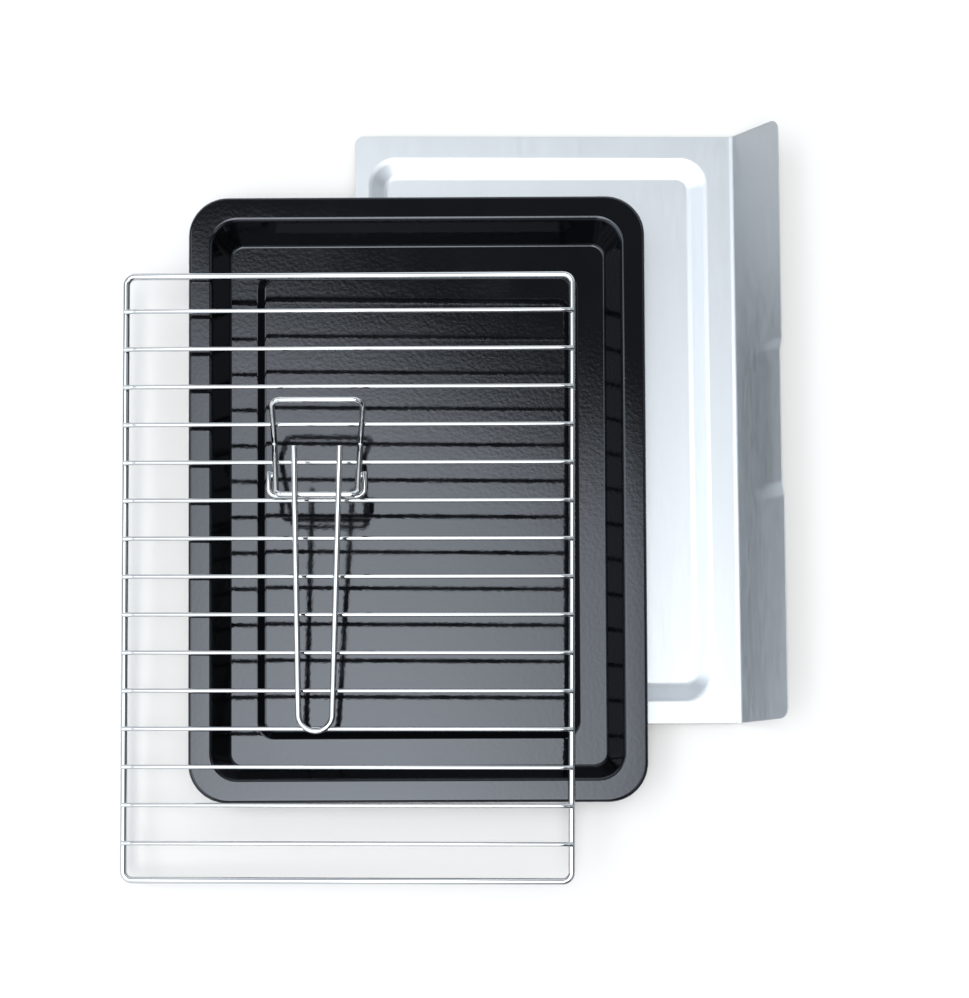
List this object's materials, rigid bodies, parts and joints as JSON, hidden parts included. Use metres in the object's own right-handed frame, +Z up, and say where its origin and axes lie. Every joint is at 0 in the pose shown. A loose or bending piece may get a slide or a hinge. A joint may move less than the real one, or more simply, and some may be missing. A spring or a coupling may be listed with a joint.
{
  "type": "mini electric oven tray and rack set",
  "caption": "Loose accessories of a small electric oven, stacked: wire rack with a wire tray handle, on a deep enamelled baking tray, on a lipped crumb tray.",
  "frame": {"origin": "on the table, under the middle of the crumb tray's flat part (the underside of its sunken floor)", "axes": "+Z up from the table; +X to the side where the crumb tray's lip stands; +Y to the back, the way the handle's loop lies from its grip"},
  "size_m": [0.4386, 0.5105, 0.0774],
  "materials": {
    "satin_sheet": "satin coated sheet",
    "black_enamel": "glossy vitreous enamel",
    "chromed_wire": "bright chrome"
  },
  "bodies": {
    "crumb_tray_body": {"crumb_tray": "satin_sheet"},
    "baking_tray_body": {"baking_tray": "black_enamel"},
    "wire_rack": {"rack_frame": "chromed_wire", "rack_cross_wire_01": "chromed_wire", "rack_cross_wire_02": "chromed_wire", "rack_cross_wire_03": "chromed_wire", "rack_cross_wire_04": "chromed_wire", "rack_cross_wire_05": "chromed_wire", "rack_cross_wire_06": "chromed_wire", "rack_cross_wire_07": "chromed_wire", "rack_cross_wire_08": "chromed_wire", "rack_cross_wire_09": "chromed_wire", "rack_cross_wire_10": "chromed_wire", "rack_cross_wire_11": "chromed_wire", "rack_cross_wire_12": "chromed_wire", "rack_cross_wire_13": "chromed_wire", "rack_cross_wire_14": "chromed_wire", "rack_cross_wire_15": "chromed_wire"},
    "tray_handle": {"handle_grip": "chromed_wire", "handle_loop": "chromed_wire", "handle_brace": "chromed_wire"}
  },
  "joints": [
    {"name": "baking_tray_lift", "type": "slide", "parent": "crumb_tray_body", "child": "baking_tray_body", "axis": [0, 0, 1], "range_m": [0, 0.06]},
    {"name": "wire_rack_lift", "type": "slide", "parent": "baking_tray_body", "child": "wire_rack", "axis": [0, 0, 1], "range_m": [0, 0.06]},
    {"name": "tray_handle_lift", "type": "slide", "parent": "wire_rack", "child": "tray_handle", "axis": [0, 0, 1], "range_m": [0, 0.08]}
  ]
}
